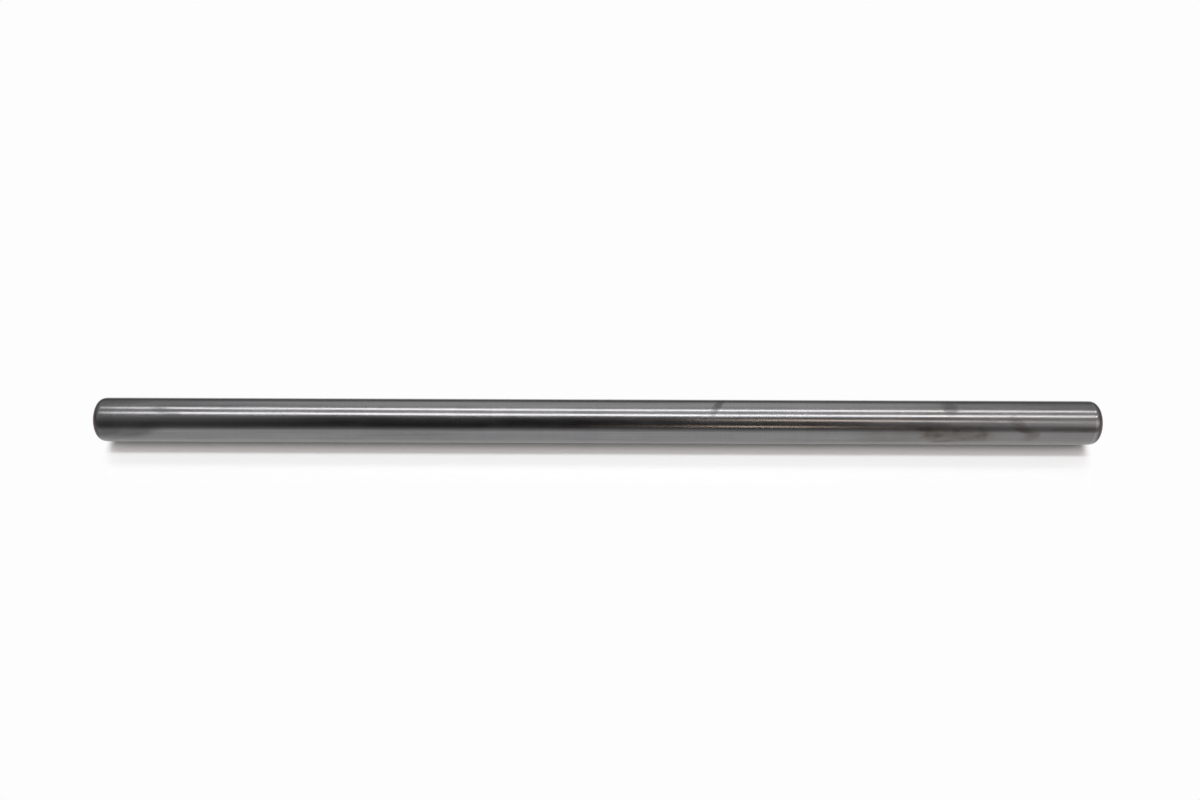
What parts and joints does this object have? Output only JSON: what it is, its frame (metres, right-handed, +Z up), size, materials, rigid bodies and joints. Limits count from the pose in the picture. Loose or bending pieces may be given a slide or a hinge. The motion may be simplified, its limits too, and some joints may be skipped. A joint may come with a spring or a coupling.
{
  "type": "axle shaft",
  "caption": "Plain round axle shaft of ground steel: solid, straight, the same diameter from end to end, with rounded end edges.",
  "frame": {"origin": "on the shaft's own axis, halfway along its length", "axes": "+X along the shaft's axis, from the left end in the picture to the right one; +Z up, with the shaft lying on its side; Y across it"},
  "size_m": [0.5778, 0.0254, 0.0254],
  "materials": {
    "ground_steel": "ground smooth, with a thin film of oil, dulled towards the ends, with small brown and grey stains"
  },
  "bodies": {
    "root": {"axle_shaft": "ground_steel"}
  },
  "joints": []
}
